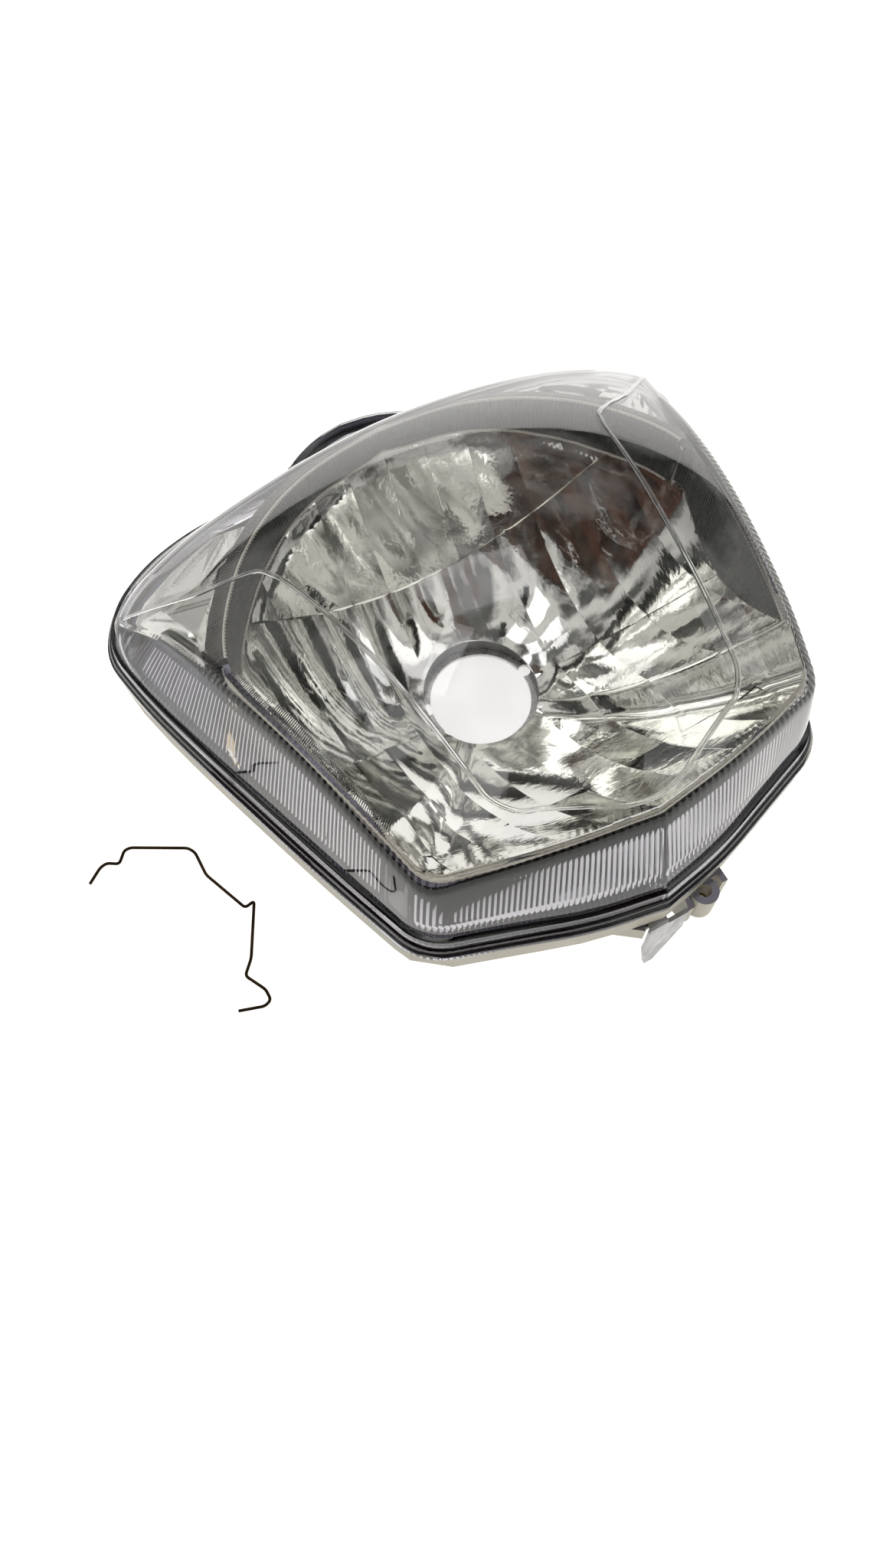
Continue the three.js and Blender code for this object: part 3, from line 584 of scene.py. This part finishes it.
# --- Reflector --------------------------------------------------------------------------------
FLUTE_PITCH = 1.15
CELL = 1.15                # length of a mesh cell along a facet
CELLS_ACROSS = 12
MIRROR_LIFT, MIRROR_THICK = 0.55, 1.1
HOLE_FADE = (2.5, 13)      # the facets rise from the plain bowl between these distances from the bore
END_FADE, END_DROP = (4.0, 0.8), 0.75   # over this way to the bezel's foot they lose this share again
FACE_FROM, FACE_TO = -1.6, 9    # how far from the plain bowl the shell's own mirror face lies
SINK = 0.85                # share of its height over FACE_FROM by which it is sunk under the sheet
ROWS = [  # y at x = 0 and how much it falls with x squared
    (-96.0, 0.0), (-59.0, 0.0012), (-2.5, 0.0037), (38.7, 0.0012), (84.0, 0.0),
]
rng = np.random.default_rng(SEED)
COLUMNS = range(-7, 7)
TILT_X = rng.uniform(-1, 1, (len(COLUMNS), 4))
TILT_Y = rng.uniform(-1, 1, (len(COLUMNS), 4))


def facet_height(row, column, u, v):
    """Height of one facet over the plain bowl, in mm. u runs across it and v along it."""
    k = column - COLUMNS[0]
    arch = 4 * u * (1 - u)
    tx, ty = TILT_X[k, row], TILT_Y[k, row]
    if row == 3:
        wave = 0.3 * np.sin(2 * math.pi * (0.7 * u + 1.2 * v) + 3 * tx) * smooth(0, 0.2, v)
        slope = 0.5 * tx * (u - 0.5) + 0.7 * ty * (v - 0.4) * smooth(0, 0.3, v)
        return 1.35 + 0.25 * arch + slope + wave
    if row == 2:
        depth = 1.25 if column < 0 else 0.55
        return 1.3 - depth * arch * (0.35 + 0.65 * v) + 0.25 * ty * np.sin(2.5 * math.pi * v + tx)
    if row == 1:
        left = smooth(1, -3, column)
        twist = (0.9 * left + 0.35) * (u - 0.5) * (1 - 1.6 * v)
        return 0.9 - (0.45 + 0.5 * left) * arch + twist + 0.3 * tx * np.sin(2 * math.pi * v + 3 * ty)
    return 0.7 + 0.5 * tx * (u - 0.5) + 0.8 * ty * (v - 0.5) - 0.35 * arch


def mirror():
    """The faceted bowl: facets joined by small steps, closed by a copy of itself lower down."""
    across, points, faces, edges = CELLS_ACROSS, [], [], []
    for row in range(4):
        (y0, k0), (y1, k1) = ROWS[row], ROWS[row + 1]
        along = max(int((y1 - y0) / CELL), 8)
        for column in COLUMNS:
            u, v = np.meshgrid(np.linspace(0, 1, across + 1), np.linspace(0, 1, along + 1))
            x = (column + u) * COLUMN
            y = (y0 - k0 * x * x) * (1 - v) + (y1 - k1 * x * x) * v
            top = facet_height(row, column, u, v)
            base = len(points)
            index = base + np.arange(u.size).reshape(u.shape)
            points.extend(np.stack([x, y, top], -1).reshape(-1, 3))
            quads = np.stack([index[:-1, :-1], index[:-1, 1:], index[1:, 1:], index[1:, :-1]], -1)
            faces.extend(quads.reshape(-1, 4).tolist())
            edges.append((row, column, index))
    by_place = {(r, c): i for r, c, i in edges}
    for (r, c), i in by_place.items():
        if (r, c + 1) in by_place:
            j = by_place[r, c + 1]
            faces.extend([[i[k, -1], j[k, 0], j[k + 1, 0], i[k + 1, -1]] for k in range(len(i) - 1)])
        if (r + 1, c) in by_place:
            j = by_place[r + 1, c]
            faces.extend([[i[-1, k], i[-1, k + 1], j[0, k + 1], j[0, k]] for k in range(across)])
    points = np.array(points)
    r, a = np.hypot(points[:, 0], points[:, 1]), np.arctan2(points[:, 1], points[:, 0])
    limit, hole = mouth_limit(a), BORE_R + 0.05
    inside = (r < limit) & (r > hole)
    kept = [f for f in faces if inside[list(f)].any()]
    clipped = np.clip(r, hole, limit)
    fade = smooth(BORE_R + HOLE_FADE[0], BORE_R + HOLE_FADE[1], clipped)
    level = 1 - END_DROP * arch_part(a) * smooth(*END_FADE, limit - clipped)
    plain = bowl_z(clipped, a)
    height = plain + MIRROR_LIFT + fade * level * (points[:, 2] - 0.1)
    top = np.column_stack([clipped * np.cos(a), clipped * np.sin(a), height])
    points, kept = packed(top, kept)
    return closed_sheet(points, kept, MIRROR_THICK)


def mouth_limit(a):
    """Where the mirror ends: under the bezel's wall in the arch, at the mouth elsewhere."""
    arch = arch_part(a)
    return arch * (foot_r(a) + 0.6) + (1 - arch) * (wall_r(a, bowl_z(mouth_r(a), a)) + 0.3)


def arch_part(a):
    """One where the bezel's wall stands on the bowl, nought round the open bottom."""
    return smooth(BEZEL_END - 1.0, BEZEL_END + 0.5, np.degrees(np.arcsin(np.sin(a)))) * (np.sin(a) > 0)


def closed_sheet(points, faces, thickness):
    """A sheet closed by a copy of itself lower down and a wall round its open edges."""
    n, count = len(points), {}
    for f in faces:
        for i in range(len(f)):
            e = (f[i - 1], f[i])
            count[tuple(sorted(e))] = count.get(tuple(sorted(e)), 0) + 1
    below = points - [0, 0, thickness]
    out = list(faces) + [[v + n for v in reversed(f)] for f in faces]
    for f in faces:
        for i in range(len(f)):
            a, b = f[i - 1], f[i]
            if count[tuple(sorted((a, b)))] == 1:
                out.append([b, a, a + n, b + n])
    return np.vstack([points, below]), out


def reflector():
    """The mirror, the moulding that carries it, its side walls and its lip, painted bright as a
    highlight.
    """
    points, faces = mirror()
    bowl = new_object("reflector_mirror", points, faces, MIRROR, 22)
    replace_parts(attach(bowl, "lamp"), "reflector_shell")
    shell_body()
    side_wall()
    lip_bead()


def shorten_edges(mesh, longest):
    """Splits the long edges inside the mouth: a long triangle would cut up through the sheet."""
    bm = bmesh.new()
    bm.from_mesh(mesh)
    for _ in range(3):
        long_edges = []
        for e in bm.edges:
            x, y, z = (np.array((e.verts[0].co + e.verts[1].co) / 2) - OFFSET) / MM
            r, a = math.hypot(x, y), math.atan2(y, x)
            above = z - bowl_z(r, a)
            if e.calc_length() > longest and BORE_R < r < mouth_limit(a) and above > FACE_FROM:
                long_edges.append(e)
        bmesh.ops.subdivide_edges(bm, edges=long_edges, cuts=1)
        bmesh.ops.triangulate(bm, faces=[f for f in bm.faces if len(f.verts) > 3])
    bm.to_mesh(mesh)
    bm.free()


def shell_body():
    """The moulding round and behind the mirror: the CAD solid with its mirror face sunk under the
    faceted sheet and its edges eased."""
    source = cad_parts["reflector_shell"]
    mesh = source.data.copy()
    mesh.name = "reflector_body"
    shorten_edges(mesh, 5 * MM)
    obj = bpy.data.objects.new("reflector_body", mesh)
    bpy.context.scene.collection.objects.link(obj)
    co = np.array([v.co for v in mesh.vertices], float)
    lamp = (co - OFFSET) / MM
    r, a = np.hypot(lamp[:, 0], lamp[:, 1]), np.arctan2(lamp[:, 1], lamp[:, 0])
    over = lamp[:, 2] - bowl_z(r, a)
    face = (r > BORE_R + 0.3) & (r < mouth_limit(a) - 0.2) & (over > FACE_FROM) & (over < FACE_TO)
    lamp[face, 2] -= SINK * (over[face] - FACE_FROM) * smooth(BORE_R, BORE_R + 8, r[face])
    for v, p in zip(mesh.vertices, lamp * MM + OFFSET):
        v.co = p
    mesh.materials.clear()
    mesh.materials.append(SHELL)
    mesh.shade_smooth()
    mesh.set_sharp_from_angle(angle=math.radians(28))
    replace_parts(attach(obj, "lamp"), "reflector_shell")


def lip_bead():
    """The thin edge of the bowl, painted bright as a highlight, from one end of the bezel round the
    bottom to the other.
    """
    first, last = math.radians(-180 - BEZEL_END + 1), math.radians(BEZEL_END - 1)
    angles, _ = even_angles(mouth_r, 520, first, last)
    r = mouth_r(angles) + 0.55
    x, y = r * np.cos(angles), r * np.sin(angles)
    path = np.column_stack([x, y, lip_z(x, y) - 0.55])
    section = [(1.05 * math.cos(t), 0.66 * math.sin(t)) for t in loop_of(12)]
    points, faces = ribbon(path, section)
    # painted highlight: the lip carries the cream highlight colour
    lip = face_out(new_object("reflector_lip", points, faces, LIP_HIGHLIGHT, 60))
    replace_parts(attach(lip, "lamp"), "reflector_shell")


def side_wall():
    """The dark ribbed wall between the mirror and the lip, down both sides to the lower corners."""
    for side, sign in (("left", -1), ("right", 1)):
        first, last = math.radians(-47), math.radians(BEZEL_END - 0.4)
        _, probe = even_angles(mouth_r, 50, first, last)
        ribs = int(probe[-1] / FLUTE_PITCH)
        angles, _ = even_angles(mouth_r, ribs * 4 + 1, first, last)
        rib = {a: 0.5 - 0.5 * math.cos(2 * math.pi * i / 4) for i, a in enumerate(angles)}

        def profile(a):
            r = float(mouth_r(a))
            top = lip_z(r * math.cos(a), r * math.sin(a)) - 0.9
            low = min(float(bowl_z(r, a)), top - 0.3) + 0.1
            face = [(float(wall_r(a, z)) - 0.3 - 0.3 * rib[a], z) for z in np.linspace(low, top, 6)]
            back = [(float(wall_r(a, z)) + 0.5, z) for z in (top, low)]
            return np.array([*face, *back])

        points, faces = turned(profile, angles.tolist(), wrap=False)
        points[:, 0] *= sign
        wall = face_out(new_object(f"side_wall_{side}", points, faces, TRIM, 30))
        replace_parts(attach(wall, "lamp"), "reflector_shell")


# --- Bezel ------------------------------------------------------------------------------------
def bezel():
    """The dark fluted wall over the bowl with its toothed edge and flat shoulder."""
    first, last = math.radians(BEZEL_END + 1.2), math.radians(180 - BEZEL_END - 1.2)
    _, probe = even_angles(mouth_r, 50, first, last)
    flutes = int(probe[-1] / FLUTE_PITCH)
    angles, _ = even_angles(mouth_r, flutes * 6 + 1, first, last)
    phase = {a: 0.5 - 0.5 * math.cos(2 * math.pi * i / 6) for i, a in enumerate(angles)}

    def profile(a):
        c, s, g = math.cos(a), math.sin(a), phase[a]
        r, q, foot = float(mouth_r(a)), float(shoulder_r(a)), float(foot_r(a))
        top, edge, zb = lip_z(r * c, r * s), lip_z(q * c, q * s), float(foot_z(a)) - 0.4
        wall = [(foot + (r - foot) * t - 0.32 * g * smooth(0, 0.06, t), zb + (top - 0.5 - zb) * t)
                for t in np.linspace(0, 1, 8)]
        wall[-1] = (r - 0.42 * g, top - 0.5)
        ledge = [(r + 0.12, top - 0.08 + 0.16 * g), (r + 0.6, top), (r + 1.0, top - 0.05)]
        shelf = [(d, lip_z(d * c, d * s) - 0.12 - 0.16 * g)
                 for d in (r + (q - r) * t for t in (0.4, 0.7, 0.94))]
        back = [(q, edge - 0.3), (q, edge - 4), (q - 1.6, edge - 4), (q - 1.6, edge - 2),
                (r + 0.9, top - 2.2), (foot + 1.9, zb)]
        return np.array(wall + ledge + shelf + back)

    points, faces = turned(profile, angles.tolist(), wrap=False)
    wall = face_out(new_object("bezel_wall", points, faces, TRIM, 30))
    wall.data.materials.append(SHOULDER_TRIM)
    wall.data.materials.append(LIP_HIGHLIGHT)
    paint_bezel(wall)
    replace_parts(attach(wall, "lamp"), "inner_bezel")


def paint_bezel(wall):
    """Gives the flat shoulder its own finish and paints a highlight along the serrated edge."""
    for face in wall.data.polygons:
        x, y, z = (np.array(face.center) - OFFSET) / MM
        a, r = math.atan2(y, x), math.hypot(x, y)
        beyond = r - float(mouth_r(a))
        if beyond > 0.75 and face.normal.z > 0.3:
            face.material_index = 1
        # painted highlight: the toothed edge gets the cream colour
        elif -0.35 < beyond <= 0.75 and z > lip_z(x, y) - 0.75:
            face.material_index = 2


def foot_highlight():
    """A painted highlight: a bright serrated line where the bezel's wall meets the mirror."""
    first, last = math.radians(BEZEL_END + 1.6), math.radians(180 - BEZEL_END - 1.6)
    _, probe = even_angles(foot_r, 50, first, last)
    teeth = int(probe[-1] / FLUTE_PITCH)
    angles, _ = even_angles(foot_r, teeth * 4 + 1, first, last)
    tooth = 0.5 - 0.5 * np.cos(2 * math.pi * np.arange(len(angles)) / 4)
    r = foot_r(angles) - 0.1 - 0.3 * tooth
    path = np.column_stack([r * np.cos(angles), r * np.sin(angles), foot_z(angles) - 0.2])
    section = [(0.42 * math.cos(t), 0.4 * math.sin(t)) for t in loop_of(8)]
    points, faces = ribbon(path, section)
    # painted highlight: the bead carries the cream highlight colour
    bead = face_out(new_object("bezel_foot_highlight", points, faces, LIP_HIGHLIGHT, 60))
    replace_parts(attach(bead, "lamp"), "inner_bezel")


# --- Carried-over CAD nodes -------------------------------------------------------------------
def finish_node(name, material, bevel=0.18, angle=30):
    """Keeps a CAD node's shape, with its edges eased and its own material."""
    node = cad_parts[name]
    node.data.materials.clear()
    node.data.materials.append(material)
    ease = node.modifiers.new("ease", "BEVEL")
    ease.width, ease.segments, ease.limit_method = bevel * MM, 2, "ANGLE"
    ease.angle_limit = math.radians(angle)
    ease.harden_normals = False
    node.data.shade_smooth()
    node.data.set_sharp_from_angle(angle=math.radians(angle))


def small_parts():
    finish_node("lens_seal", SEALANT, 0.2)
    for side in ("left", "right"):
        finish_node(f"bezel_screw_{side}", STEEL, 0.15)
        finish_node(f"corner_screw_{side}", STEEL, 0.15)
        finish_node(f"corner_reflector_{side}", MIRROR, 0.25, 8)
        finish_node(f"mount_insert_{side}", BRASS, 0.15)
        finish_node(f"vent_cap_{side}", RUBBER, 0.3)
    finish_node("bulb_seat_ring", STEEL, 0.12)
    finish_node("clip_tab", STEEL, 0.15)
    finish_node("clip_tab_screw", STEEL, 0.15)
    finish_node("aim_nut", BRASS, 0.15)
    finish_node("aim_plate", PLATE, 0.25)


# --- Clip -------------------------------------------------------------------------------------
WIRE_R = 0.52


def wire_clip():
    """Round spring wire with eased bends, flat on the table."""
    bends = np.array(CLIP_BENDS, float)
    line = [bends[0]]
    for a, p, b in zip(bends[:-2], bends[1:-1], bends[2:]):
        la, lb = np.linalg.norm(a - p), np.linalg.norm(b - p)
        e = min(1.3, la / 2.2, lb / 2.2)
        s, t = p + (a - p) / la * e, p + (b - p) / lb * e
        k = np.linspace(0, 1, 7)[:, None]
        line.extend((1 - k) ** 2 * s + 2 * k * (1 - k) * p + k**2 * t)
    line.append(bends[-1])
    line = np.array(line)
    path = np.column_stack([line, np.full(len(line), WIRE_R + 0.01)])
    section = [(WIRE_R * math.cos(t), WIRE_R * math.sin(t)) for t in loop_of(14)]
    points, faces = ribbon(path, section)
    clip = face_out(new_object("wire_clip", points, faces, WIRE, 50))
    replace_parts(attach(clip, "clip"), "bulb_clip")


# --- Stage ------------------------------------------------------------------------------------
def stage():
    bpy.ops.mesh.primitive_plane_add(size=6, location=(0, 0, -0.0002))
    floor = bpy.context.object
    floor.name = "studio_floor"
    floor.data.materials.append(paper_floor())


def soft_light(name, location, aim, size, power):
    data = bpy.data.lights.new(name, "AREA")
    data.shape, data.size, data.size_y = "RECTANGLE", size[0], size[1]
    data.energy = power
    obj = bpy.data.objects.new(name, data)
    bpy.context.scene.collection.objects.link(obj)
    obj.location = location
    back = np.array(location, float) - np.array(aim, float)
    obj.rotation_euler = Matrix(basis(back)).to_euler()
    obj.visible_camera = False


def basis(back):
    back = back / np.linalg.norm(back)
    right = np.cross([0, 0, 1.0] if abs(back[2]) < 0.999 else [0, 1.0, 0], back)
    right /= np.linalg.norm(right)
    return np.column_stack([right, np.cross(back, right), back]).tolist()


def toward(azimuth, elevation, distance):
    """A place seen from the lamp: azimuth runs from the front (-Y) round to the right (+X)."""
    a, e = math.radians(azimuth), math.radians(elevation)
    return (distance * math.sin(a) * math.cos(e), -distance * math.cos(a) * math.cos(e),
            distance * math.sin(e))


def card(name, centre, size, low, high, scale):
    """A studio flag: a dark card that only shows in the mirror and through the cover."""
    m = Nodes(name)
    wood = m.noise(scale, 4, 0.6, 0.5, (1, 1, 0.35))
    color = m.mix(m.ramp(wood, 0, 1, 0.4, 0.62), low, high)
    m.done(m.node("ShaderNodeEmission", {"Color": color}).outputs[0])
    bpy.ops.mesh.primitive_plane_add(size=1)
    obj = bpy.context.object
    obj.name = name
    obj.data.materials.append(m.material)
    axes = Matrix(basis(np.array(centre, float) - [0, 0, 0.05])).to_4x4()
    obj.matrix_world = Matrix.Translation(centre) @ axes @ Matrix.Diagonal((*size, 1, 1))
    obj.visible_camera = obj.visible_diffuse = obj.visible_shadow = False


LIGHT_DISTANCE = 1.3
SOFTBOXES = [  # name, azimuth and elevation in degrees, width and height in metres, radiance
    ("back_strip", -146, 68, (0.46, 0.16), 2.3), ("back_window", 168, 56, (0.62, 0.36), 1.9),
    ("left_window_back", -128, 51, (0.34, 0.2), 1.5), ("left_window", -105, 58, (0.3, 0.34), 1.9),
    ("left_window_front", -64, 60, (0.34, 0.44), 1.7), ("front_window", 56, 46, (0.62, 0.56), 1.15),
    ("right_fill", 86, 28, (0.34, 0.3), 1.1),
]
BROWN = rgb(0.01, 0.005, 0.0035), rgb(0.13, 0.062, 0.04)
BLACK = rgb(0.003, 0.003, 0.003), rgb(0.02, 0.017, 0.015)
FLAGS = [  # name, azimuth, elevation, distance, width and height, colours, scale of the mottling
    ("front_flag", -60, 27, 1.0, (1.9, 0.56), BROWN, 5),
    ("middle_flag", 8, 46, 1.0, (0.16, 0.5), BROWN, 9),
    ("back_flag", -157, 58, 1.1, (0.3, 0.13), BROWN, 7),
    ("front_bar", -38, 61, 1.1, (0.1, 0.34), BLACK, 9),
    ("right_flag", 100, 50, 1.1, (0.2, 0.26), BLACK, 9),
]


def lights():
    centre = (0.02, 0.0, 0.05)
    for name, azimuth, elevation, size, radiance in SOFTBOXES:
        power = math.pi * radiance * size[0] * size[1]
        soft_light(name, toward(azimuth, elevation, LIGHT_DISTANCE), centre, size, power)
    for name, azimuth, elevation, distance, size, colors, scale in FLAGS:
        card(name, toward(azimuth, elevation, distance), size, *colors, scale)
    room()
    bpy.context.scene.view_settings.view_transform = "Standard"


def room():
    """What the mirror sees between the softboxes: uneven pale walls. The camera sees plain white."""
    world = bpy.data.worlds.new("studio")
    bpy.context.scene.world = world
    world.use_nodes = True
    tree = world.node_tree

    def add(kind, values=(), links=()):
        node = tree.nodes.new(kind)
        for key, value in values:
            node.inputs[key].default_value = value
        for key, socket in links:
            tree.links.new(socket, node.inputs[key])
        return node

    def ranged(socket, low_in, high_in, low, high):
        ends = (("From Min", low_in), ("From Max", high_in), ("To Min", low), ("To Max", high))
        return add("ShaderNodeMapRange", ends, [("Value", socket)]).outputs[0]

    direction = add("ShaderNodeTexCoord").outputs["Generated"]
    height = add("ShaderNodeSeparateXYZ", links=[(0, direction)]).outputs["Z"]
    patch = add("ShaderNodeTexNoise", (("Scale", 3.2), ("Detail", 3.0), ("Roughness", 0.55)),
                [("Vector", direction)]).outputs["Fac"]
    walls = add("ShaderNodeMath", links=[(0, ranged(height, -0.1, 0.5, 0.22, 0.56)),
                                         (1, ranged(patch, 0.43, 0.57, 0.22, 1.9))])
    walls.operation = "MULTIPLY"
    background = tree.nodes["Background"]
    background.inputs["Color"].default_value = (1.0, 0.99, 0.93, 1)
    tree.links.new(walls.outputs[0], background.inputs["Strength"])
    plain = add("ShaderNodeBackground", [("Color", (1, 1, 1, 1))])
    to_camera = add("ShaderNodeLightPath").outputs["Is Camera Ray"]
    seen = add("ShaderNodeMixShader", links=[
        (0, to_camera), (1, background.outputs[0]), (2, plain.outputs[0])])
    tree.links.new(seen.outputs[0], tree.nodes["World Output"].inputs["Surface"])


def camera():
    data = bpy.data.cameras.new("camera")
    data.sensor_fit, data.sensor_height = "VERTICAL", 36.0
    data.lens = 18.0 / math.tan(math.radians(VIEW_HEIGHT / 2))
    data.clip_start, data.clip_end = 0.01, 20
    cam = bpy.data.objects.new("camera", data)
    bpy.context.scene.collection.objects.link(cam)
    azimuth, elevation = math.radians(CAMERA_AZIMUTH), math.radians(CAMERA_ELEVATION)
    back = np.array([math.sin(azimuth) * math.cos(elevation), -math.cos(azimuth) * math.cos(elevation),
                     math.sin(elevation)])
    right = np.array([math.cos(azimuth), math.sin(azimuth), 0])
    turn = Matrix(np.column_stack([right, np.cross(back, right), back]).tolist()).to_4x4()
    cam.matrix_world = Matrix.Translation(place(CAMERA_PLACE).tolist()) @ turn
    bpy.context.scene.camera = cam


outer_lens()
lens_crease()
reflector()
bezel()
foot_highlight()
small_parts()
wire_clip()
stage()
lights()
camera()

bpy.context.view_layer.update()
